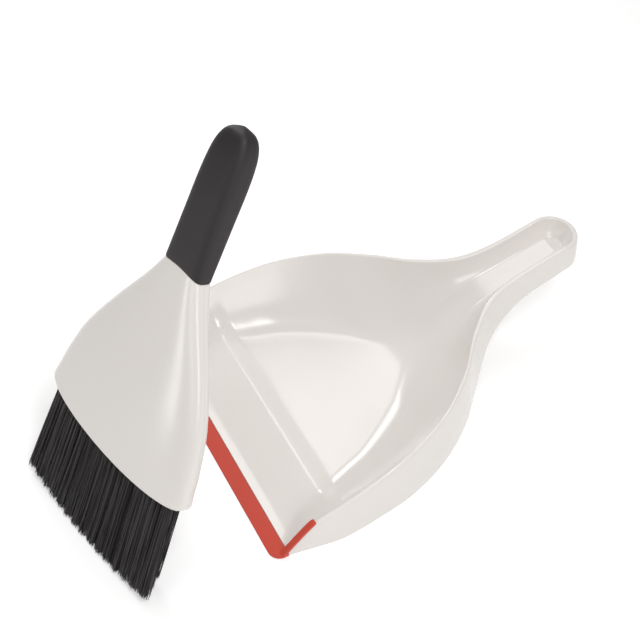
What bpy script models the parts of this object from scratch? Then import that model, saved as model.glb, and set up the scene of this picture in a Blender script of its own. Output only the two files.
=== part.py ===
"""Dust pan and hand brush set: a moulded pan with a rubber lip, and a brush that lies in it for storage.

Every size below is in millimetres and every mesh is written in metres.
The pan is drawn from the front edge of its lip: +Y runs back to the handle, +Z up, +X to its right.
The brush is drawn in its own frame: X across the head, Y from the bristle tips to the grip's end,
and Z through its thickness, out of the crowned face.
"""
import bpy
import bmesh
from math import cos, pi, radians, sin, sqrt, tan
from mathutils import Matrix, Vector

MM = 0.001
GAP = 0.3                      # clearance between touching pieces

# Pan: stations along its length, each (distance behind the lip's front edge, ...)
PAN_WALL = 1.8
PAN_FRONT = 13.0               # where the moulding starts, behind the rubber strip
HANDLE_CENTRE = 328.0          # centre of the handle's round end
RIM = [                        # half width of the rim, its height, flare of the outer skirt, skirt's foot
    (13, 118.0, 4.5, 3.0, 0),
    (33, 119.2, 27.2, 5.5, 0),
    (40, 119.6, 30.3, 6.5, 0),
    (57, 119.7, 34.6, 8.5, 0),
    (92, 117.2, 41.3, 8.5, 0),
    (125, 110.8, 45.9, 9.5, 0),
    (164, 95.3, 49.5, 10.0, 0),
    (197, 71.3, 51.8, 12.0, 0),
    (221, 46.0, 57.0, 14.0, 2),
    (248, 25.6, 63.8, 11.0, 24),
    (278, 18.7, 69.3, 8.0, 43),
    (328, 17.5, 80.5, 6.0, 57),
]
FLOOR = [                      # height of the floor on the centre line, half width of its flat part
    (13, 3.2, 108),
    (36, 5.4, 91),
    (52, 8.4, 84),
    (57, 9.0, 83),
    (63, 7.4, 81),
    (76, 4.6, 76),
    (108, 4.2, 64),
    (150, 4.4, 37),
    (176, 6.5, 12),
    (200, 15.5, 5),
    (228, 33.0, 9),
    (248, 44.0, 10),
    (268, 51.2, 9),
    (296, 58.5, 8.5),
    (328, 66.0, 8),
]
RIM_WIDTH = 1.6                # from the wall's top edge out to the top of the skirt
RIM_DROP = 1.2                 # how far the skirt starts below the wall's top edge
LEAST_WALL_RUN = 6.0           # the side wall is at least this wide, seen from above
WALL_CURVE = 1.8               # power of the hollow curve from the floor up to the rim
SKIRT_CURVE = 1.5              # power of the skirt's curve from the rim down to the ground

# Rubber lip
LIP_DEPTH = 12.7
LIP_FRONT_HEIGHT = 0.8
LIP_BACK_HEIGHT = 2.9
LIP_HALF_WIDTH = 121.5
LIP_CORNER = 10.0
TONGUE_FRONT = 4.0
TONGUE_BACK = 20.0
TONGUE_HALF_WIDTH = 105.0
TONGUE_HEIGHT = 1.1
LEG_WIDTH = 5.6
LEG_THICKNESS = 1.8
LEG_FRONT = 9.5                # the leg starts here, inside the strip
LEG_TOP = 36.0
LEG_DIVE = 0.9                 # how steeply it goes down into the strip
LEG_OFFSET = 0.6               # from the wall's top edge out to the leg's middle
LEG_LIFT = GAP + 0.25          # from the rim up to the leg's underside
LEG_TAPER = 0.8                # width of the leg's top as a share of its base

# Brush head
HEAD_WALL = 2.2
HEAD = [                       # distance from the tips at the side, half width, half thickness
    (78.5, 78.2, 11.4),
    (80.5, 80.6, 11.8),
    (84, 81.0, 12.1),
    (90, 79.6, 12.1),
    (108, 76.4, 11.8),
    (138, 68.0, 11.1),
    (172, 50.8, 10.2),
    (208, 29.4, 9.4),
    (228, 19.1, 9.0),
]
HEAD_STATIONS = [78.5, 80.5, 84, 90, 100, 112, 124, 138, 152, 167, 182, 197, 210, 220, 228]
MOUTH_RISE = 9.0               # how far the mouth's edge arches towards the tips at its middle
RING_RISE = -2.5               # the same for the joint with the grip, which arches the other way
SECTION_POWER = 0.58           # below 1 squares off the rounded section

# Grip and the core inside it
GRIP = [                       # distance from the tips, half width, half thickness
    (228.3, 19.3, 9.2),
    (244, 18.4, 10.4),
    (270, 17.4, 11.6),
    (300, 16.8, 12.0),
    (318, 15.4, 11.2),
    (328, 12.6, 9.2),
    (333, 8.5, 6.4),
    (335.5, 2.5, 2.0),
]
GRIP_STATIONS = [228.3, 236, 244, 257, 270, 285, 300, 310, 318, 324, 328, 331, 333, 334.6, 335.5]
CORE = [
    (204, 15.8, 6.0),
    (236, 15.2, 6.2),
    (270, 14.4, 8.4),
    (300, 13.8, 9.0),
    (318, 12.3, 8.2),
    (328, 8.0, 5.4),
]
CORE_STATIONS = [204, 220, 236, 252, 270, 285, 300, 310, 318, 324, 328]

RISE_FADE = 40.0               # the arch of the grip's edge dies out over this length

# Bristles and the block that holds them
BLOCK_FACE = 6.0               # how far the block's face sits inside the mouth
BLOCK_DEPTH = 10.0
BLOCK_HALF_WIDTH = 71.0
BLOCK_HALF_THICKNESS = 8.9
END_SQUEEZE = 0.30             # the block and its rows are this much thinner at the head's sides
TUFTS_PER_ROW = (15, 14, 15)
ROW_AT_BLOCK = 5.6
ROW_AT_TIPS = 6.4
BLOCK_ROW_HALF = 67.0          # half the length of an outer row at the block
TIP_ROW_HALF = 73.0            # and at the tips, because the rows fan out
TIP_DRIFT = 8.0                # the bristles lean this far to the right, as if swept
TUFT_ROOT = (3.5, 2.5)
TUFT_TIP = (5.0, 2.9)
TUFT_SIDES = 8
TIP_ARCH = 6.0                 # the outer tufts end this much higher than the middle ones
TIP_SLANT = 0.55               # the ends are cut on a slant, shorter on the side that meets the floor

# Where the brush stands when it sweeps, and where it lies when it is put away
SWEEP_YAW = radians(12.7)
SWEEP_LEAN = radians(31.25)
SWEEP_BACK = -108.4            # distance of the tips behind the lip's front edge
TIP_LIFT = 2.0                 # height of the brush frame's origin above the floor
STOWED_LEAN = radians(13.4)
STOWED_BACK = 30.0
STOWED_HEIGHT = 19.5


def smooth_row(rows, place):
    """The values at a place along a smooth curve through the rows, each (place, value, ...)."""
    index = 0
    while index < len(rows) - 2 and rows[index + 1][0] < place:
        index += 1

    def slope(row, column):
        before = rows[max(row - 1, 0)]
        after = rows[min(row + 1, len(rows) - 1)]
        return (after[column] - before[column]) / (after[0] - before[0])

    start, end = rows[index], rows[index + 1]
    span = end[0] - start[0]
    t = (place - start[0]) / span
    values = []
    for column in range(1, len(start)):
        rise = (2 * t**3 - 3 * t**2 + 1) * start[column] + (3 * t**2 - 2 * t**3) * end[column]
        bend = (t**3 - 2 * t**2 + t) * slope(index, column) + (t**3 - t**2) * slope(index + 1, column)
        values.append(rise + span * bend)
    return values


def material(name, colour, roughness):
    made = bpy.data.materials.new(name)
    made.use_nodes = True
    shader = made.node_tree.nodes["Principled BSDF"]
    shader.inputs["Base Color"].default_value = (*colour, 1.0)
    shader.inputs["Roughness"].default_value = roughness
    shader.inputs["Metallic"].default_value = 0.0
    return made


def add_piece(name, mesh_maker, finish, parent, smooth_angle=radians(35)):
    """One named object from a bmesh drawn in millimetres."""
    mesh_maker.normal_update()
    bmesh.ops.transform(mesh_maker, matrix=Matrix.Scale(MM, 4), verts=mesh_maker.verts)
    bmesh.ops.remove_doubles(mesh_maker, verts=mesh_maker.verts, dist=1e-6)
    bmesh.ops.recalc_face_normals(mesh_maker, faces=mesh_maker.faces)
    mesh = bpy.data.meshes.new(name)
    mesh_maker.to_mesh(mesh)
    mesh_maker.free()
    mesh.materials.append(finish)
    mesh.shade_smooth()
    mesh.set_sharp_from_angle(angle=smooth_angle)
    piece = bpy.data.objects.new(name, mesh)
    bpy.context.collection.objects.link(piece)
    piece.parent = parent
    return piece


def add_grid(mesh_maker, rows, closed_rows=False):
    """Quads between neighbouring rows of points; returns the rows of vertices."""
    grid = [[mesh_maker.verts.new(point) for point in row] for row in rows]
    for first, second in zip(grid, grid[1:]):
        count = len(first)
        for k in range(count if closed_rows else count - 1):
            n = (k + 1) % count
            mesh_maker.faces.new((first[k], first[n], second[n], second[k]))
    return grid


def stowing_turn():
    """The brush's sweeping frame, and a point on the axis of the one turn that stows it from there.

    The sideways place of the sweeping brush is the one that leaves no slide along the axis.
    """
    across = Vector((cos(SWEEP_YAW), sin(SWEEP_YAW), 0))
    forward = Vector((-sin(SWEEP_YAW), cos(SWEEP_YAW), 0))
    up_brush = forward * sin(SWEEP_LEAN) + Vector((0, 0, cos(SWEEP_LEAN)))
    sweeping = Matrix((across, up_brush, across.cross(up_brush))).transposed()
    stowed_up = Vector((0, cos(STOWED_LEAN), sin(STOWED_LEAN)))
    stowed = Matrix((Vector((1, 0, 0)), stowed_up, Vector((1, 0, 0)).cross(stowed_up))).transposed()
    turn = stowed @ sweeping.transposed()
    axis, angle = turn.to_quaternion().to_axis_angle()
    back = STOWED_BACK - SWEEP_BACK
    rise = STOWED_HEIGHT - TIP_LIFT
    aside = (axis.y * back + axis.z * rise) / axis.x
    start = Vector((aside, SWEEP_BACK, TIP_LIFT))
    end = Vector((0, STOWED_BACK, STOWED_HEIGHT))
    middle = (start + end) / 2
    chord = end - start
    hub = middle + axis.cross(chord) / (2 * tan(angle / 2))
    return Matrix.Translation(start) @ sweeping.to_4x4(), hub


def rim_ray(place, fan):
    """One ray of the pan, from its centre line out over the rim and down the skirt, top and underside."""
    half, rim_z, flare, foot = smooth_row(RIM, place)
    foot = max(foot, 0)
    floor_z, flat = smooth_row(FLOOR, place)
    flat = min(flat, half - LEAST_WALL_RUN)
    out = Vector((cos(fan), sin(fan), 0))
    spine = Vector((0, place, 0))

    def wall_point(s, drop=0.0):
        run = half - flat
        height = floor_z + (rim_z - floor_z) * s**WALL_CURVE
        slope = WALL_CURVE * (rim_z - floor_z) * s**(WALL_CURVE - 1) / run
        return spine + out * (flat + run * s) + Vector((0, 0, height - drop * sqrt(1 + slope * slope)))

    def skirt_point(r, inset=0.0):
        away = half + RIM_WIDTH + (flare - RIM_WIDTH) * (1 - (1 - r)**SKIRT_CURVE)
        top = rim_z - RIM_DROP
        return spine + out * (away - inset) + Vector((0, 0, top + (foot - top) * r))

    steps = [0.15, 0.35, 0.55, 0.75, 0.9, 1.0]
    falls = [0.0, 0.15, 0.4, 0.7, 1.0]
    top = [spine + out * (flat * f) + Vector((0, 0, floor_z)) for f in (0, 0.5, 1)]
    top += [wall_point(s) for s in steps]
    top += [spine + out * (half + RIM_WIDTH / 2) + Vector((0, 0, rim_z - RIM_DROP / 12))]
    top += [skirt_point(r) for r in falls]
    reach = 1 - RIM_DROP / (half - flat)
    under = [spine + out * (flat * f) + Vector((0, 0, floor_z - PAN_WALL)) for f in (0, 0.5, 1)]
    under += [wall_point(s * reach, PAN_WALL) for s in steps]
    corner = under[-1]
    foot_inside = skirt_point(1, PAN_WALL)
    for part in (0.03, 0.08, 0.2, 0.42, 0.7, 1.0):
        point = corner.lerp(foot_inside, part)
        bow = (flare - RIM_WIDTH) * (SKIRT_CURVE - 1) * part * (1 - part)
        under.append(point + out * bow)
    return top, under


def make_pan_body(finish, parent):
    stations = [13, 18, 24, 29, 33, 36, 40, 46, 52, 55, 57, 60, 64, 70, 78, 90, 103, 116, 129, 141, 153]
    stations += [164, 174, 184, 192, 200, 208, 216, 224, 232, 240, 248, 258, 268, 280, 296, 312, 328]
    rays = [rim_ray(place, 0) for place in stations]
    rays += [rim_ray(HANDLE_CENTRE, radians(angle)) for angle in (15, 30, 45, 60, 75, 90)]
    pan = bmesh.new()
    for side in (1, -1):
        flip = Matrix.Scale(side, 4, (1, 0, 0))
        top = add_grid(pan, [[flip @ point for point in ray[0]] for ray in rays])
        under = add_grid(pan, [[flip @ point for point in ray[1]] for ray in rays])
        for k in range(len(top[0]) - 1):
            pan.faces.new((top[0][k], top[0][k + 1], under[0][k + 1], under[0][k]))
        for k in range(len(rays) - 1):
            pan.faces.new((top[k][-1], top[k + 1][-1], under[k + 1][-1], under[k][-1]))
    return add_piece("pan_body", pan, finish, parent)


def lip_height(back):
    return LIP_FRONT_HEIGHT + (LIP_BACK_HEIGHT - LIP_FRONT_HEIGHT) * back / LIP_DEPTH


def extruded(outline, height_at):
    """A closed solid over an outline on the floor, with its top at height_at(y)."""
    solid = bmesh.new()
    low = [solid.verts.new((x, y, 0)) for x, y in outline]
    high = [solid.verts.new((x, y, height_at(y))) for x, y in outline]
    solid.faces.new(low)
    solid.faces.new(high)
    for k in range(len(outline)):
        n = (k + 1) % len(outline)
        solid.faces.new((low[k], low[n], high[n], high[k]))
    return solid


def make_lip(finish, parent):
    """The strip along the floor, its tongue under the pan, and a leg up each side wall's front edge."""
    corner = [
        (LIP_HALF_WIDTH - LIP_CORNER + LIP_CORNER * sin(radians(turn)),
         LIP_CORNER - LIP_CORNER * cos(radians(turn)))
        for turn in range(0, 91, 15)
    ]
    right = corner + [(LIP_HALF_WIDTH, LIP_DEPTH)]
    strip_outline = right + [(-x, y) for x, y in reversed(right)]
    lip = add_piece("floor_lip", extruded(strip_outline, lip_height), finish, parent)

    reach = TONGUE_HALF_WIDTH
    tongue_outline = [
        (-reach, TONGUE_FRONT), (reach, TONGUE_FRONT), (reach, TONGUE_BACK), (-reach, TONGUE_BACK)]
    helpers = [add_piece("lip_tongue", extruded(tongue_outline, lambda y: TONGUE_HEIGHT), finish, parent)]

    for side, label in ((1, "right"), (-1, "left")):
        leg = bmesh.new()
        rows = []
        for place in (LEG_FRONT, PAN_FRONT, 20, 27, 32, LEG_TOP):
            half, height = smooth_row(RIM, max(place, PAN_FRONT))[:2]
            ahead = smooth_row(RIM, max(place, PAN_FRONT) + 1)[1]
            rise = Vector((0, 1, ahead - height)).normalized()
            out = Vector((0, -rise.z, rise.y))
            drop = (PAN_FRONT - min(place, PAN_FRONT)) * LEG_DIVE
            base = Vector((side * (half + LEG_OFFSET), place, height - drop)) + out * LEG_LIFT
            across = Vector((side * LEG_WIDTH / 2, 0, 0))
            crown = base + out * LEG_THICKNESS
            narrow = across * LEG_TAPER
            rows.append([base - across, base + across, crown + narrow, crown - narrow])
        grid = add_grid(leg, rows, closed_rows=True)
        leg.faces.new(grid[0])
        leg.faces.new(grid[-1])
        helpers.append(add_piece("lip_leg_" + label, leg, finish, parent))

    for helper in helpers:
        helper.hide_render = True
        helper.display_type = "WIRE"
        joined = lip.modifiers.new("join " + helper.name, "BOOLEAN")
        joined.operation = "UNION"
        joined.solver = "EXACT"
        joined.object = helper
    return lip


def section(half_width, half_thickness, turns):
    """Points of a squared-off oval, at the given turns from the +X side towards the crowned face."""
    points = []
    for turn in turns:
        across = abs(cos(turn))**SECTION_POWER * (1 if cos(turn) > 0 else -1)
        through = abs(sin(turn))**SECTION_POWER * (1 if sin(turn) > 0 else -1)
        points.append((half_width * across, half_thickness * through, across))
    return points


def head_rise(side_place):
    """How far the middle of a head section lies ahead of its sides."""
    share = (side_place - HEAD[0][0]) / (HEAD[-1][0] - HEAD[0][0])
    return MOUTH_RISE + (RING_RISE - MOUTH_RISE) * share


def make_head_shell(name, face, finish, parent):
    """Half of the hollow head: face is 1 for the crowned half and -1 for the half towards the floor."""
    turns = [pi * k / 18 for k in range(19)]
    outside, inside = [], []
    for place in HEAD_STATIONS:
        half, thick = smooth_row(HEAD, place)
        rise = head_rise(place)
        for rows, wall in ((outside, 0.0), (inside, HEAD_WALL)):
            row = []
            for x, z, across in section(half - wall, thick - wall - GAP / 2, turns):
                row.append(Vector((x, place - rise * (1 - across * across), face * (abs(z) + GAP / 2))))
            rows.append(row)
    shell = bmesh.new()
    outer = add_grid(shell, outside)
    inner = add_grid(shell, inside)
    for end in (0, -1):
        for k in range(len(turns) - 1):
            shell.faces.new((outer[end][k], outer[end][k + 1], inner[end][k + 1], inner[end][k]))
        for k in range(len(HEAD_STATIONS) - 1):
            shell.faces.new((outer[k][end], outer[k + 1][end], inner[k + 1][end], inner[k][end]))
    return add_piece(name, shell, finish, parent)


def oval_rows(profile, stations, rise, sides=24):
    """Rings of a squared-off oval profile whose start arches by rise, fading out along its length."""
    turns = [2 * pi * k / sides for k in range(sides)]
    rows = []
    for place in stations:
        half, thick = smooth_row(profile, place)
        fade = max(0.0, 1 - (place - stations[0]) / RISE_FADE)
        row = []
        for x, z, across in section(half, thick, turns):
            row.append(Vector((x, place - rise * fade * (1 - across * across), z)))
        rows.append(row)
    return rows


def make_core(finish, parent):
    core = bmesh.new()
    grid = add_grid(core, oval_rows(CORE, CORE_STATIONS, 0), closed_rows=True)
    core.faces.new(grid[0])
    core.faces.new(grid[-1])
    return add_piece("handle_core", core, finish, parent)


def make_grip(finish, parent):
    """A soft cup drawn over the core: an outer skin, an inner skin and the rim that joins them."""
    inner_profile = [(place, half + GAP, thick + GAP) for place, half, thick in CORE]
    inner_stations = [228.3, 236, 244, 257, 270, 285, 300, 310, 318, 324, 328.4]
    grip = bmesh.new()
    outer = add_grid(grip, oval_rows(GRIP, GRIP_STATIONS, RING_RISE), closed_rows=True)
    inner = add_grid(grip, oval_rows(inner_profile, inner_stations, RING_RISE), closed_rows=True)
    grip.faces.new(outer[-1])
    grip.faces.new(inner[-1])
    for k in range(len(outer[0])):
        n = (k + 1) % len(outer[0])
        grip.faces.new((outer[0][k], outer[0][n], inner[0][n], inner[0][k]))
    return add_piece("grip_sleeve", grip, finish, parent)


def block_face(across):
    """Distance from the tips of the tuft block's face, which follows the arch of the mouth."""
    middle = HEAD[0][0] - MOUTH_RISE + BLOCK_FACE
    return middle + MOUTH_RISE * (across / HEAD[0][1])**2


def end_squeeze(share):
    """How much thinner the block and its rows get towards the head's rounded sides."""
    return 1 - END_SQUEEZE * abs(share)**6


def make_tuft_block(finish, parent):
    count = 16
    rows = []
    for k in range(count + 1):
        x = BLOCK_HALF_WIDTH * (2 * k / count - 1)
        face = block_face(x)
        thick = BLOCK_HALF_THICKNESS * end_squeeze(x / BLOCK_HALF_WIDTH)
        back = face + BLOCK_DEPTH
        rows.append([(x, face, -thick), (x, face, thick), (x, back, thick), (x, back, -thick)])
    block = bmesh.new()
    grid = add_grid(block, rows, closed_rows=True)
    block.faces.new(grid[0])
    block.faces.new(grid[-1])
    return add_piece("tuft_block", block, finish, parent)


def tip_place(across, through):
    """Distance along the brush of the bristle ends, on the slanted and arched cut."""
    edge = ROW_AT_TIPS + TUFT_TIP[1]
    base = (sin(SWEEP_LEAN) * edge - TIP_LIFT) / cos(SWEEP_LEAN) - TIP_SLANT * edge
    return base + TIP_ARCH * ((across - TIP_DRIFT) / TIP_ROW_HALF)**2 - TIP_SLANT * through


def make_tufts(finish, parent):
    spacing = 2 / (TUFTS_PER_ROW[0] - 1)
    for row, count in enumerate(TUFTS_PER_ROW):
        through = row - 1
        for k in range(count):
            share = (k - (count - 1) / 2) * spacing
            root = Vector((share * BLOCK_ROW_HALF, 0, through * ROW_AT_BLOCK * end_squeeze(share)))
            tip = Vector((share * TIP_ROW_HALF + TIP_DRIFT, 0, through * ROW_AT_TIPS))
            rings = []
            for part in (0.0, 0.5, 1.0):
                centre = root.lerp(tip, part)
                ring = []
                for side in range(TUFT_SIDES):
                    turn = 2 * pi * (side + 0.5) / TUFT_SIDES
                    wide = TUFT_ROOT[0] + (TUFT_TIP[0] - TUFT_ROOT[0]) * part
                    deep = TUFT_ROOT[1] + (TUFT_TIP[1] - TUFT_ROOT[1]) * part
                    x = centre.x + wide * cos(turn)
                    z = centre.z + deep * sin(turn)
                    start = block_face(x) - GAP
                    ring.append((x, start + (tip_place(x, z) - start) * part, z))
                rings.append(ring)
            tuft = bmesh.new()
            grid = add_grid(tuft, rings, closed_rows=True)
            tuft.faces.new(grid[0])
            tuft.faces.new(grid[-1])
            label = "bristle_tuft_%s_%02d" % ("abc"[row], k + 1)
            add_piece(label, tuft, finish, parent)


def main():
    for old in list(bpy.data.objects):
        bpy.data.objects.remove(old, do_unlink=True)

    white = material("white_plastic", (0.80, 0.78, 0.75), 0.35)
    rubber = material("lip_rubber", (0.50, 0.09, 0.05), 0.55)
    black = material("grip_rubber", (0.035, 0.031, 0.032), 0.6)
    core = material("core_plastic", (0.55, 0.54, 0.52), 0.5)
    filament = material("bristle", (0.02, 0.018, 0.018), 0.5)

    pan = bpy.data.objects.new("pan_origin", None)
    bpy.context.collection.objects.link(pan)
    pan.location = Vector((0, -LIP_DEPTH / 2, 0)) * MM
    make_pan_body(white, pan)
    make_lip(rubber, pan)

    frame, hub = stowing_turn()
    hinge = bpy.data.objects.new("brush_hinge", None)
    bpy.context.collection.objects.link(hinge)
    hinge.parent = pan
    hinge.location = hub * MM
    brush = bpy.data.objects.new("brush_origin", None)
    bpy.context.collection.objects.link(brush)
    brush.parent = hinge
    brush.matrix_local = Matrix.Translation((frame.translation - hub) * MM) @ frame.to_3x3().to_4x4()
    make_head_shell("head_front_shell", 1, white, brush)
    make_head_shell("head_back_shell", -1, white, brush)
    make_tuft_block(core, brush)
    make_core(core, brush)
    make_grip(black, brush)
    make_tufts(filament, brush)


main()
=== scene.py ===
"""A dust pan with a rubber lip and the hand brush that goes with it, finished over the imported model."""
import random
from math import cos, pi, radians, sin, sqrt

import bmesh
import bpy
import numpy as np
from mathutils import Matrix, Vector


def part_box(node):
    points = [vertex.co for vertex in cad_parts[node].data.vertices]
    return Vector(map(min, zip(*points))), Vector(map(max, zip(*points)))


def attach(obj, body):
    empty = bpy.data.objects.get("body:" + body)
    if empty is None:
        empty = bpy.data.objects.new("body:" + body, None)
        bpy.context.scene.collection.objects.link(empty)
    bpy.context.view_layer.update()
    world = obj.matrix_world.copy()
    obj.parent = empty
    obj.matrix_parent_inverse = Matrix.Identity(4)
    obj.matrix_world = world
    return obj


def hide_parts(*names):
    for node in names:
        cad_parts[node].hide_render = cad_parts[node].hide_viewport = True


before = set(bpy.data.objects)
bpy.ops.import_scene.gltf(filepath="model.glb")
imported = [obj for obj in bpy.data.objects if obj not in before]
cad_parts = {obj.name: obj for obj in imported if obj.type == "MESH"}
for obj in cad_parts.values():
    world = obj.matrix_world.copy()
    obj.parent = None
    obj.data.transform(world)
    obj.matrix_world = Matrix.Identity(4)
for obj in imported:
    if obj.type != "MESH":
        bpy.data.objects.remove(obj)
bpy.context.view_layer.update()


# ---------------------------------------------------------------------------------------------
# The studio: the set stands on plain white paper under soft boxes, seen from above and from
# the right of the pan's front. The paper is matt, and bright enough to read as pure white.
CAMERA_AZIMUTH = radians(61.4)
CAMERA_ELEVATION = radians(50.1)
PAPER_REACH = 40
PAPER_DROP = 0.0002

camera = bpy.data.objects.new("camera", bpy.data.cameras.new("camera"))
camera.data.lens = 61.4
camera.data.sensor_width = 36
camera.location = (0.4729, -0.15895, 0.7383)
camera_aim = Vector((
    -sin(CAMERA_AZIMUTH) * cos(CAMERA_ELEVATION),
    cos(CAMERA_AZIMUTH) * cos(CAMERA_ELEVATION),
    -sin(CAMERA_ELEVATION),
))
camera.rotation_euler = camera_aim.to_track_quat("-Z", "Y").to_euler()
bpy.context.scene.collection.objects.link(camera)
bpy.context.scene.camera = camera

paper_material = bpy.data.materials.new("paper")
paper_material.use_nodes = True
paper_shader = paper_material.node_tree.nodes["Principled BSDF"]
paper_shader.inputs["Base Color"].default_value = (0.84, 0.84, 0.84, 1)
paper_shader.inputs["Roughness"].default_value = 0.9
paper_shader.inputs["Specular IOR Level"].default_value = 0.0
paper_shader.inputs["Emission Color"].default_value = (1, 1, 1, 1)
paper_shader.inputs["Emission Strength"].default_value = 0.31
paper_mesh = bpy.data.meshes.new("paper")
paper_corners = [(x * PAPER_REACH, y * PAPER_REACH, 0) for x, y in ((-1, -1), (1, -1), (1, 1), (-1, 1))]
paper_mesh.from_pydata(paper_corners, [], [(0, 1, 2, 3)])
paper_mesh.materials.append(paper_material)
paper = bpy.data.objects.new("paper", paper_mesh)
bpy.context.scene.collection.objects.link(paper)
paper.location.z = -PAPER_DROP


def soft_box(name, place, target, width, height, watts):
    """A soft box of a width and a height in metres, turned towards its target."""
    lamp = bpy.data.lights.new(name, "AREA")
    lamp.shape = "RECTANGLE"
    lamp.size = width
    lamp.size_y = height
    lamp.energy = watts
    light = bpy.data.objects.new(name, lamp)
    light.location = place
    light.rotation_euler = (Vector(target) - Vector(place)).to_track_quat("-Z", "Y").to_euler()
    bpy.context.scene.collection.objects.link(light)


soft_box("key_box", (0.42, 0.20, 1.20), (0.0, 0.06, 0.0), 0.35, 0.35, 4.8)
soft_box("side_box", (1.05, -0.05, 0.75), (0.0, 0.0, 0.0), 0.5, 0.5, 3.2)
soft_box("front_box", (0.20, -0.98, 0.62), (0.0, -0.05, 0.1), 0.5, 0.4, 0.9)
soft_box("band_box", (-0.175, -1.0, 0.24), (0.0, -0.05, 0.16), 0.11, 0.36, 0.65)
soft_box("back_box", (-0.55, 0.34, 1.08), (0.0, 0.08, 0.0), 0.42, 0.42, 2.1)
soft_box("glint_box", (-0.88, 0.24, 0.62), (0.06, 0.12, 0.0), 0.30, 0.30, 2.5)
sky = bpy.data.worlds.new("studio")
sky.use_nodes = True
sky.node_tree.nodes["Background"].inputs["Color"].default_value = (1.0, 0.99, 0.98, 1)
sky.node_tree.nodes["Background"].inputs["Strength"].default_value = 0.33
bpy.context.scene.world = sky
bpy.context.scene.view_settings.view_transform = "Standard"


# ---------------------------------------------------------------------------------------------
# The pan: one injection moulding in glossy off-white plastic, 1.8 mm thick. A ramp and a low
# ridge lead into the well, the side walls curl up to a rolled rim, an outer skirt comes down
# to the floor, and the back runs out into a trough-shaped handle.
MM = 0.001
PAN_WALL = 1.8
PAN_FRONT = 13
HANDLE_CENTRE = 328.0
PAN_RIM = [          # distance behind the lip's edge, half width of the rim, height, flare, skirt's foot
    (13, 118.0, 4.5, 3.0, 0),
    (33, 119.2, 27.2, 5.5, 0),
    (40, 119.6, 30.3, 6.5, 0),
    (57, 119.7, 34.6, 8.5, 0),
    (92, 117.2, 41.3, 8.5, 0),
    (125, 110.8, 45.9, 9.5, 0),
    (164, 95.3, 49.5, 10.0, 0),
    (197, 71.3, 51.8, 12.0, 0),
    (221, 46.0, 57.0, 14.0, 2),
    (248, 25.6, 63.8, 11.0, 24),
    (278, 18.7, 69.3, 8.0, 43),
    (328, 17.5, 80.5, 6.0, 57),
]
PAN_FLOOR = [        # distance behind the lip's edge, height of the floor, half width of its flat part
    (13, 3.2, 108),
    (19.5, 3.3, 102),
    (22, 3.6, 100),
    (36, 5.9, 91),
    (54, 8.9, 84),
    (57, 9.2, 83),
    (60, 8.6, 82),
    (69, 5.3, 79),
    (73, 4.7, 77),
    (84, 4.4, 73),
    (108, 4.2, 64),
    (150, 4.4, 37),
    (176, 6.5, 12),
    (200, 15.5, 5),
    (228, 33.0, 9),
    (248, 44.0, 10),
    (268, 51.2, 9),
    (296, 58.5, 8.5),
    (328, 66.0, 8),
]
PAN_LAND = [         # distance behind the lip's edge, width of the rim's flat top
    (13, 1.6),
    (120, 1.7),
    (170, 2.2),
    (205, 3.8),
    (240, 4.4),
    (328, 3.6),
]
LAND_FALL = 0.12            # how much the rim's top falls outwards, for each mm of its width
WALL_CURVE = 1.8
SKIRT_CURVE = 1.5
LEAST_WALL_RUN = 6          # the least distance from the floor's flat part to the rim
UNDER_RIM = 1.2             # how far short of the rim the wall's underside stops
RIM_INNER_ROUND = 0.9
RIM_OUTER_ROUND = 1.1
FOOT_ROUND = 0.5
FLOOR_STEPS = 8
UNDER_FLOOR_STEPS = 4
WALL_STEPS = 24
UNDER_WALL_STEPS = 12
SKIRT_STEPS = [0, 0.12, 0.25, 0.4, 0.55, 0.7, 0.85, 1]
WELD_DISTANCE = 2e-6        # in metres, as is the next
LEAST_EDGE = 1e-6
SHARP_TURN = radians(50)


def smooth_row(rows, place):
    """The values at a place along a smooth curve through the rows, each (place, value, ...)."""
    index = 0
    while index < len(rows) - 2 and rows[index + 1][0] < place:
        index += 1

    def slope(row, column):
        before = rows[max(row - 1, 0)]
        after = rows[min(row + 1, len(rows) - 1)]
        return (after[column] - before[column]) / (after[0] - before[0])

    start, end = rows[index], rows[index + 1]
    span = end[0] - start[0]
    t = (place - start[0]) / span
    values = []
    for column in range(1, len(start)):
        rise = (2 * t**3 - 3 * t**2 + 1) * start[column] + (3 * t**2 - 2 * t**3) * end[column]
        bend = (t**3 - 2 * t**2 + t) * slope(index, column) + (t**3 - t**2) * slope(index + 1, column)
        values.append(rise + span * bend)
    return values


def rounded(points, radii, steps=5):
    """A line of 2D points with the corners given in radii, {index: radius}, turned into arcs."""
    line = []
    for k, point in enumerate(points):
        if k not in radii:
            line.append(point)
            continue
        before = points[k - 1] - point
        after = points[k + 1] - point
        start = point + before.normalized() * min(radii[k], before.length * 0.48)
        end = point + after.normalized() * min(radii[k], after.length * 0.48)
        for step in range(steps + 1):
            t = step / steps
            line.append(start * (1 - t)**2 + point * (2 * t * (1 - t)) + end * t**2)
    return line


def add_rows(maker, rows, closed=False):
    """Faces between neighbouring rows of points. Returns the rows of corners."""
    grid = [[maker.verts.new(point) for point in row] for row in rows]
    for first, second in zip(grid, grid[1:]):
        for k in range(len(first) if closed else len(first) - 1):
            n = (k + 1) % len(first)
            maker.faces.new((first[k], first[n], second[n], second[k]))
    return grid


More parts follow.
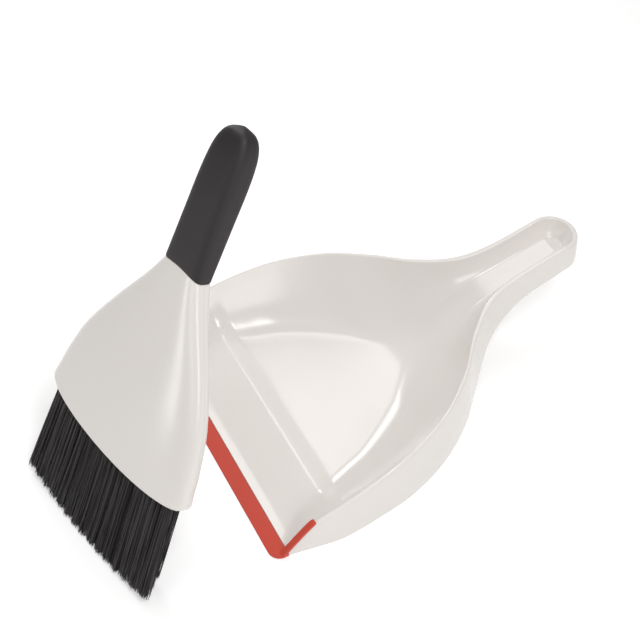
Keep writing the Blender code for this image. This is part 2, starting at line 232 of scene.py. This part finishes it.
def finished_piece(name, maker, finish, place):
    """A named piece from a mesh drawn in millimetres, with its finish, put in its place."""
    bmesh.ops.transform(maker, matrix=Matrix.Scale(MM, 4), verts=maker.verts)
    bmesh.ops.remove_doubles(maker, verts=maker.verts, dist=WELD_DISTANCE)
    bmesh.ops.dissolve_degenerate(maker, edges=maker.edges, dist=LEAST_EDGE)
    bmesh.ops.recalc_face_normals(maker, faces=maker.faces)
    mesh = bpy.data.meshes.new(name)
    maker.to_mesh(mesh)
    maker.free()
    mesh.materials.append(finish)
    mesh.shade_smooth()
    mesh.set_sharp_from_angle(angle=SHARP_TURN)
    piece = bpy.data.objects.new(name, mesh)
    piece.matrix_world = place
    bpy.context.scene.collection.objects.link(piece)
    return piece


def plastic(name, light, dark, roughness, grain_size, grain_depth):
    """A moulded finish: a slightly uneven colour, uneven gloss and a fine skin texture.
    The grain's size and depth are in millimetres."""
    made = bpy.data.materials.new(name)
    made.use_nodes = True
    nodes, links = made.node_tree.nodes, made.node_tree.links
    shader = nodes["Principled BSDF"]
    where = nodes.new("ShaderNodeTexCoord")

    clouds = nodes.new("ShaderNodeTexNoise")
    clouds.inputs["Scale"].default_value = 11
    clouds.inputs["Detail"].default_value = 4
    tone = nodes.new("ShaderNodeValToRGB")
    tone.color_ramp.elements[0].position = 0.3
    tone.color_ramp.elements[0].color = (*dark, 1)
    tone.color_ramp.elements[1].position = 0.7
    tone.color_ramp.elements[1].color = (*light, 1)
    links.new(where.outputs["Object"], clouds.inputs["Vector"])
    links.new(clouds.outputs["Fac"], tone.inputs["Fac"])
    links.new(tone.outputs["Color"], shader.inputs["Base Color"])

    smears = nodes.new("ShaderNodeTexNoise")
    smears.inputs["Scale"].default_value = 26
    smears.inputs["Detail"].default_value = 2
    gloss = nodes.new("ShaderNodeMapRange")
    gloss.inputs["From Min"].default_value = 0.3
    gloss.inputs["From Max"].default_value = 0.7
    gloss.inputs["To Min"].default_value = roughness - 0.015
    gloss.inputs["To Max"].default_value = roughness + 0.025
    links.new(where.outputs["Object"], smears.inputs["Vector"])
    links.new(smears.outputs["Fac"], gloss.inputs["Value"])
    links.new(gloss.outputs["Result"], shader.inputs["Roughness"])

    grain = nodes.new("ShaderNodeTexNoise")
    grain.inputs["Scale"].default_value = 1 / (grain_size * MM)
    grain.inputs["Detail"].default_value = 3
    skin = nodes.new("ShaderNodeBump")
    skin.inputs["Strength"].default_value = 0.5
    skin.inputs["Distance"].default_value = grain_depth * MM
    links.new(where.outputs["Object"], grain.inputs["Vector"])
    links.new(grain.outputs["Fac"], skin.inputs["Height"])
    links.new(skin.outputs["Normal"], shader.inputs["Normal"])
    return made


white_plastic = plastic("white_plastic", (0.80, 0.765, 0.73), (0.79, 0.755, 0.72), 0.17, 1.0, 0.006)
lip_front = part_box("floor_lip")[0].y
pan_place = Matrix.Translation((0, lip_front, 0))


def pan_ray(place, fan):
    """A ray of the pan: out over the rim, down the skirt, round its foot and back underneath."""
    half, rim_height, flare, foot = smooth_row(PAN_RIM, place)
    foot = max(foot, 0.0)
    floor_height, flat = smooth_row(PAN_FLOOR, place)
    flat = min(flat, half - LEAST_WALL_RUN)
    land = smooth_row(PAN_LAND, place)[0]
    land_edge = rim_height - LAND_FALL * land
    run = half - flat

    def wall(s, drop=0.0):
        height = floor_height + (rim_height - floor_height) * s**WALL_CURVE
        slope = WALL_CURVE * (rim_height - floor_height) * s**(WALL_CURVE - 1) / run
        return Vector((flat + run * s, height - drop * sqrt(1 + slope * slope)))

    def skirt(r, inset=0.0):
        away = half + land + (flare - land) * (1 - (1 - r)**SKIRT_CURVE)
        return Vector((away - inset, land_edge + (foot - land_edge) * r))

    line = [Vector((flat * k / FLOOR_STEPS, floor_height)) for k in range(FLOOR_STEPS)]
    line += [wall(k / WALL_STEPS) for k in range(WALL_STEPS + 1)]
    inner_corner = len(line) - 1
    line += [skirt(r) for r in SKIRT_STEPS]
    outer_corner = inner_corner + 1
    foot_outside = len(line) - 1
    line.append(skirt(1, PAN_WALL))
    line += [skirt(r, PAN_WALL) for r in SKIRT_STEPS[-2:1:-1]]
    line.append(Vector((half + land - PAN_WALL, rim_height - PAN_WALL - LAND_FALL * land)))
    reach = 1 - UNDER_RIM / run
    line += [wall(reach * k / UNDER_WALL_STEPS, PAN_WALL) for k in range(UNDER_WALL_STEPS, -1, -1)]
    line += [Vector((flat * k / UNDER_FLOOR_STEPS, floor_height - PAN_WALL))
             for k in range(UNDER_FLOOR_STEPS - 1, -1, -1)]
    line = rounded(line, {
        inner_corner: RIM_INNER_ROUND,
        outer_corner: RIM_OUTER_ROUND,
        foot_outside: FOOT_ROUND,
        foot_outside + 1: FOOT_ROUND,
    })
    out = Vector((cos(fan), sin(fan), 0))
    return [Vector((0, place, 0)) + out * away + Vector((0, 0, height)) for away, height in line]


# The rays stand close together where the front edge and the ridge need it.
pan_places = [PAN_FRONT, 14, 15.5, 17, 18.5, 20, 21, 22, 23, 24.5, 26] + list(range(28, 48, 2))
pan_places += list(range(48, 78)) + list(range(78, 328, 3)) + [HANDLE_CENTRE]
pan_rays = [pan_ray(place, 0) for place in pan_places]
pan_rays += [pan_ray(HANDLE_CENTRE, radians(turn)) for turn in range(6, 91, 6)]
pan_mesh = bmesh.new()
for side in (1, -1):
    mirror = Matrix.Scale(side, 4, (1, 0, 0))
    grid = add_rows(pan_mesh, [[mirror @ point for point in ray] for ray in pan_rays])
    pan_mesh.faces.new(grid[0])
pan = finished_piece("pan", pan_mesh, white_plastic, pan_place)
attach(pan, "pan")
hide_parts("pan_body")


# ---------------------------------------------------------------------------------------------
# The lip: a strip of soft orange-red rubber moulded along the pan's front edge, thin in front
# and thicker behind, with a short leg up the front of each side wall; its tongue under the pan isn't drawn.
LIP_DEPTH = 12.7
LIP_FRONT_HEIGHT = 0.8
LIP_BACK_HEIGHT = 2.9
LIP_HALF_WIDTH = 121.5
LIP_CORNER = 10.0
LIP_EDGE = 0.35
LIP_BACK_STEPS = 24
LEG_WIDTH = 5.6
LEG_THICKNESS = 1.8
LEG_SECTION = ((-1, 0), (1, 0), (0.86, 1), (-0.86, 1))      # in half widths and thicknesses
LEG_PLACES = (9.5, 11, 13, 16, 20, 24, 28, 32, 34, 35.4, 36)
LEG_OUTSET = 0.6
LEG_LIFT = 0.35
LEG_DIVE = 0.9              # how steeply the leg runs down into the lip, ahead of the pan
LEG_TUCK = 0.25
LEG_TUCK_FROM = 34.8
LEG_TUCK_RUN = 1.2
LEG_FOOT_ROUND = 0.3
LEG_TOP_ROUND = 0.6
LEG_ROUND_STEPS = 4
LEVEL_FACE = 0.95           # faces that look up more than this are shaded flat

lip_rubber = plastic("lip_rubber", (0.60, 0.060, 0.034), (0.57, 0.056, 0.032), 0.48, 0.5, 0.03)


def lip_section(shrink, height_share, lift):
    """The strip's outline, drawn in by shrink, at a share of its height."""
    outline = []
    reach = LIP_HALF_WIDTH - LIP_CORNER
    radius = LIP_CORNER - shrink
    for turn in range(0, 91, 6):
        outline.append((reach + radius * sin(radians(turn)), LIP_CORNER - radius * cos(radians(turn))))
    outline.append((LIP_HALF_WIDTH - shrink, LIP_DEPTH - shrink))
    outline += [((LIP_HALF_WIDTH - shrink) * (1 - 2 * k / LIP_BACK_STEPS), LIP_DEPTH - shrink)
                for k in range(1, LIP_BACK_STEPS)]
    outline.append((shrink - LIP_HALF_WIDTH, LIP_DEPTH - shrink))
    for turn in range(90, -1, -6):
        outline.append((-reach - radius * sin(radians(turn)), LIP_CORNER - radius * cos(radians(turn))))
    rise = (LIP_BACK_HEIGHT - LIP_FRONT_HEIGHT) / LIP_DEPTH
    return [Vector((x, y, (LIP_FRONT_HEIGHT + rise * y) * height_share + lift)) for x, y in outline]


lip_mesh = bmesh.new()
lip_layers = [
    lip_section(LIP_EDGE, 0, 0),
    lip_section(LIP_EDGE * 0.3, 0, LIP_EDGE * 0.3),
    lip_section(0, 0, LIP_EDGE),
    lip_section(0, 1, -LIP_EDGE),
    lip_section(LIP_EDGE * 0.3, 1, -LIP_EDGE * 0.3),
    lip_section(LIP_EDGE, 1, 0),
    lip_section(LIP_EDGE + 0.5, 1, 0),
]
grid = add_rows(lip_mesh, lip_layers, closed=True)
lip_mesh.faces.new(grid[0])
lip_mesh.faces.new(grid[-1])
lip = finished_piece("lip", lip_mesh, lip_rubber, pan_place)

for side in (1, -1):
    leg_rows = []
    for place in LEG_PLACES:
        on_pan = max(place, PAN_FRONT)
        half, height = smooth_row(PAN_RIM, on_pan)[:2]
        ahead = smooth_row(PAN_RIM, on_pan + 1)[1]
        rise = Vector((0, 1, ahead - height)).normalized()
        out = Vector((0, -rise.z, rise.y))
        foot_height = height - (on_pan - place) * LEG_DIVE
        base = Vector((side * (half + LEG_OUTSET), place, foot_height)) + out * LEG_LIFT
        tuck = 1 - LEG_TUCK * max(0, place - LEG_TUCK_FROM) / LEG_TUCK_RUN
        corners = [Vector((x * LEG_WIDTH / 2 * tuck, z * LEG_THICKNESS * tuck)) for x, z in LEG_SECTION]
        corners = [corners[-1]] + corners + [corners[0]]
        rounds = {1: LEG_FOOT_ROUND, 2: LEG_FOOT_ROUND, 3: LEG_TOP_ROUND, 4: LEG_TOP_ROUND}
        loop = rounded(corners, rounds, LEG_ROUND_STEPS)[1:-1]
        leg_rows.append([base + Vector((x, 0, 0)) + out * z for x, z in loop])
    leg_mesh = bmesh.new()
    grid = add_rows(leg_mesh, leg_rows, closed=True)
    leg_mesh.faces.new(grid[0])
    leg_mesh.faces.new(grid[-1])
    leg = finished_piece("lip_leg", leg_mesh, lip_rubber, pan_place)
    join = lip.modifiers.new("leg", "BOOLEAN")
    join.operation = "UNION"
    join.solver = "EXACT"
    join.object = leg
    bpy.context.view_layer.update()
    joined = bpy.data.meshes.new_from_object(lip.evaluated_get(bpy.context.evaluated_depsgraph_get()))
    lip.modifiers.clear()
    lip.data = joined
    bpy.data.objects.remove(leg)
for face in lip.data.polygons:
    face.use_smooth = abs(face.normal.z) < LEVEL_FACE
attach(lip, "pan")
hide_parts("floor_lip")


# ---------------------------------------------------------------------------------------------
# The brush head: two thin mouldings in the same off-white plastic as the pan, welded along a
# hair-fine line round the sides. It is a hollow shroud, wide and open over the bristles, that
# narrows to an oval ring at the grip.
HEAD = [             # distance from the tips at the side, half width, half thickness
    (78.5, 78.2, 11.4),
    (80.5, 80.6, 11.8),
    (84, 81.0, 12.1),
    (90, 79.6, 12.1),
    (108, 76.4, 11.8),
    (138, 68.0, 11.1),
    (172, 50.8, 10.2),
    (208, 29.4, 9.4),
    (228, 19.1, 9.0),
]
HEAD_WALL = 2.2
MOUTH_RISE = 9.0
RING_RISE = -2.5
SEAM = 0.06
SECTION_POWER = 0.58         # how square the head and the grip are: 1 is a plain oval
SECTION_SAMPLES = 600
HEAD_POINTS = 73
MOUTH_ROUND = 0.9
RING_EDGE = ((0.15, 0.1), (0.5, 0.18), (1.7, 0.18))     # inset, distance past the ring
GRIP_END = 335.5


def corners_of(node):
    return np.array([corner.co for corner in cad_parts[node].data.vertices])


def mean_of(node):
    return Vector(corners_of(node).mean(0))


across_brush = (mean_of("bristle_tuft_b_14") - mean_of("bristle_tuft_b_01")).normalized()
out_of_face = mean_of("head_front_shell") - mean_of("head_back_shell")
out_of_face = (out_of_face - across_brush * out_of_face.dot(across_brush)).normalized()
up_brush = out_of_face.cross(across_brush)
grip_top = max(Vector(point).dot(up_brush) for point in corners_of("grip_sleeve"))
brush_base = (mean_of("head_front_shell") + mean_of("head_back_shell")) / 2
brush_base += up_brush * (grip_top - GRIP_END * MM - brush_base.dot(up_brush))
brush_place = Matrix((across_brush, up_brush, out_of_face)).transposed().to_4x4()
brush_place.translation = brush_base


def oval(half_width, half_thickness, start, end, count):
    """Evenly spaced points of a squared-off oval between two turns, with each one's share across."""
    turns = np.linspace(start, end, SECTION_SAMPLES)
    across = np.sign(np.cos(turns)) * np.abs(np.cos(turns))**SECTION_POWER
    through = np.sign(np.sin(turns)) * np.abs(np.sin(turns))**SECTION_POWER
    x, z = half_width * across, half_thickness * through
    length = np.concatenate([[0], np.cumsum(np.hypot(np.diff(x), np.diff(z)))])
    even = np.linspace(0, length[-1], count)
    return [(float(a), float(b), float(c)) for a, b, c in zip(
        np.interp(even, length, x), np.interp(even, length, z), np.interp(even, length, across))]


def head_row(place, inset, face, lengthways=0.0):
    """A row of the head's skin on one half, drawn in by inset."""
    half, thick = smooth_row(HEAD, place)
    share = (place - HEAD[0][0]) / (HEAD[-1][0] - HEAD[0][0])
    rise = MOUTH_RISE + (RING_RISE - MOUTH_RISE) * share
    row = []
    for x, z, across in oval(half - inset, thick - inset - SEAM, 0, pi, HEAD_POINTS):
        y = place - rise * (1 - across * across) + lengthways
        row.append(Vector((x, y, face * (abs(z) + SEAM))))
    return row


ring_place = HEAD[-1][0]
head_places = [78.5, 79, 79.6, 80.3, 81.1, 82, 83, 84, 86, 88] + list(range(90, 226, 3)) + [226.5, 227.5]
for face, label in ((1, "front"), (-1, "back")):
    rows = [head_row(place, 0, face) for place in head_places]
    rows.append(head_row(ring_place, 0.02, face, -0.2))
    rows += [head_row(ring_place, inset, face, past) for inset, past in RING_EDGE]
    rows += [head_row(place, HEAD_WALL, face) for place in [ring_place] + head_places[::-1]]
    for turn in range(20, 180, 20):
        inset = HEAD_WALL * (1 + cos(radians(turn))) / 2
        rows.append(head_row(HEAD[0][0], inset, face, -MOUTH_ROUND * sin(radians(turn))))
    head_mesh = bmesh.new()
    add_rows(head_mesh, rows + [rows[0]])
    bmesh.ops.remove_doubles(head_mesh, verts=head_mesh.verts, dist=1e-4)
    bmesh.ops.holes_fill(head_mesh, edges=[e for e in head_mesh.edges if e.is_boundary], sides=0)
    shell = finished_piece("head_" + label, head_mesh, white_plastic, brush_place)
    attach(shell, "brush")
    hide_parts("head_%s_shell" % label)


# ---------------------------------------------------------------------------------------------
# The block and the core: plain moulded pieces inside the head and the grip. The block holds
# the bristles, and the core is the brush's spine.
core_plastic = plastic("core_plastic", (0.30, 0.295, 0.29), (0.25, 0.245, 0.24), 0.45, 0.8, 0.03)
for node in ("tuft_block", "handle_core"):
    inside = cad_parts[node]
    inside.data.materials.clear()
    inside.data.materials.append(core_plastic)


# ---------------------------------------------------------------------------------------------
# The grip: a thick sleeve of soft black rubber drawn over the core, with a domed end and a
# neatly rounded edge against the head's ring.
GRIP = [             # distance from the tips, half width, half thickness
    (228.3, 19.3, 9.2),
    (244, 18.4, 10.4),
    (270, 17.4, 11.6),
    (300, 16.8, 12.0),
    (318, 15.4, 11.2),
    (328, 12.6, 9.2),
    (333, 8.5, 6.4),
    (335.5, 2.5, 2.0),
]
GRIP_POINTS = 96
RISE_FADE = 40              # the ring's curve fades out of the grip over this length
GRIP_FOOT_EDGE = ((3.6, 0.05), (1.1, 0.05), (0.45, 0.2), (0.12, 0.55), (0.0, 1.1))   # inset, distance up

grip_rubber = plastic("grip_rubber", (0.020, 0.015, 0.017), (0.016, 0.012, 0.014), 0.56, 0.35, 0.04)


def grip_row(place, inset=0.0, lengthways=0.0):
    """A ring of the grip's skin, drawn in by inset."""
    half, thick = smooth_row(GRIP, place)
    fade = max(0.0, 1 - (place - GRIP[0][0]) / RISE_FADE)
    row = []
    for x, z, across in oval(half - inset, thick - inset, 0, 2 * pi, GRIP_POINTS + 1)[:-1]:
        row.append(Vector((x, place - RING_RISE * fade * (1 - across * across) + lengthways, z)))
    return row


grip_places = [230, 232, 235] + list(range(240, 318, 5)) + [318, 320, 322, 324, 326, 328, 329.5]
grip_places += [331, 332, 333, 333.8, 334.5, 335.1, 335.5]
grip_rows = [grip_row(GRIP[0][0], inset, up) for inset, up in GRIP_FOOT_EDGE]
grip_rows += [grip_row(place) for place in grip_places]
grip_mesh = bmesh.new()
grid = add_rows(grip_mesh, grip_rows, closed=True)
grip_mesh.faces.new(grid[0])
grip_mesh.faces.new(grid[-1])
grip = finished_piece("grip", grip_mesh, grip_rubber, brush_place)
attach(grip, "brush")
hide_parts("grip_sleeve")


# ---------------------------------------------------------------------------------------------
# The bristles: tufts of stiff black nylon filaments, pulled into the block in three rows. They
# fan out a little, draw together at the right-hand end, and their cut ends aren't quite even.
FILAMENTS = 180
FILAMENT_WIDTH = 0.6
FILAMENT_STEPS = 4
FILAMENT_TAPER = 0.25
GOLDEN_TURN = 2.39996
TURN_SCATTER = 0.3
THINNEST = 0.8
THICKEST = 1.1
ENDS_FROM = 0.4             # a tuft's points past this share of its half length are its ends
ROOT_DEPTH = 1.5            # how far the filaments go into the block
ROOT_SPREAD = (1.35, 0.9)   # across and through the brush, in half sizes of a tuft's root
TIP_SPREAD = (1.18, 1.1)
TIP_SCATTER = (0.8, 0.4)
CUT_SCATTER = 0.8
BOW = (0.5, 0.4)
END_EXTRA = 2.4             # the middle row's end tufts are this much fuller on the outside
RIGHT_PULL = {"a": 6.0, "b": 3.0, "c": 0.0}     # how far the right end of each row is drawn in
TIP_ROW_HALF = 73

bristle_nylon = plastic("bristle_nylon", (0.030, 0.025, 0.026), (0.018, 0.015, 0.016), 0.38, 0.3, 0.02)
to_brush = brush_place.inverted()
dice = random.Random(11)


def middle_and_reach(points):
    """The middle of the points, and how far they reach from it each way."""
    return (points.max(0) + points.min(0)) / 2, (points.max(0) - points.min(0)) / 2


def add_filament(maker, start, end, bow, width, first_turn):
    """A thin three-sided rod from start to end, bowed and tapered."""
    rings = []
    for step in range(FILAMENT_STEPS + 1):
        t = step / FILAMENT_STEPS
        centre = start.lerp(end, t) + bow * (4 * t * (1 - t))
        radius = width / 2 * (1 - FILAMENT_TAPER * t)
        rings.append([centre + Vector((cos(first_turn + a) * radius, 0, sin(first_turn + a) * radius))
                      for a in (0, 2 * pi / 3, 4 * pi / 3)])
    corners = add_rows(maker, rings, closed=True)
    maker.faces.new(corners[0])
    maker.faces.new(corners[-1])


for row in "abc":
    tufts = sorted(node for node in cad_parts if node.startswith("bristle_tuft_%s_" % row))
    for node in tufts:
        points = np.array([to_brush @ Vector(point) for point in corners_of(node)]) / MM
        middle, reach = middle_and_reach(points)
        tips = points[points[:, 1] < middle[1] - reach[1] * ENDS_FROM]
        roots = points[points[:, 1] > middle[1] + reach[1] * ENDS_FROM]
        tip, tip_reach = middle_and_reach(tips)
        root, root_reach = middle_and_reach(roots)
        slant = np.polyfit(tips[:, 2], tips[:, 1], 1)[0]
        pull = RIGHT_PULL[row] * max(0.0, tip[0] / TIP_ROW_HALF)**3
        beyond = 0.0
        if row == "b" and node in (tufts[0], tufts[-1]):
            beyond = END_EXTRA if tip[0] > 0 else -END_EXTRA
        root_half = root_reach[0] * ROOT_SPREAD[0] + abs(beyond)
        tip_half = tip_reach[0] * TIP_SPREAD[0] + abs(beyond)

        tuft_mesh = bmesh.new()
        for k in range(FILAMENTS):
            ring = sqrt((k + 0.5) / FILAMENTS)
            turn = k * GOLDEN_TURN + dice.uniform(-TURN_SCATTER, TURN_SCATTER)
            u, v = ring * cos(turn), ring * sin(turn)
            start = Vector((
                root[0] + beyond + u * root_half,
                root[1] + ROOT_DEPTH,
                root[2] + v * root_reach[2] * ROOT_SPREAD[1],
            ))
            end_x = tip[0] + beyond - pull + u * tip_half + dice.gauss(0, TIP_SCATTER[0])
            end_z = tip[2] + v * tip_reach[2] * TIP_SPREAD[1] + dice.gauss(0, TIP_SCATTER[1])
            end_y = tip[1] + slant * (end_z - tip[2]) + abs(dice.gauss(0, CUT_SCATTER))
            bow = Vector((dice.gauss(0, BOW[0]), 0, dice.gauss(0, BOW[1])))
            width = FILAMENT_WIDTH * dice.uniform(THINNEST, THICKEST)
            add_filament(tuft_mesh, start, Vector((end_x, end_y, end_z)), bow, width, dice.uniform(0, 2 * pi))
        tuft = finished_piece(node.replace("bristle_", ""), tuft_mesh, bristle_nylon, brush_place)
        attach(tuft, "brush")
        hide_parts(node)
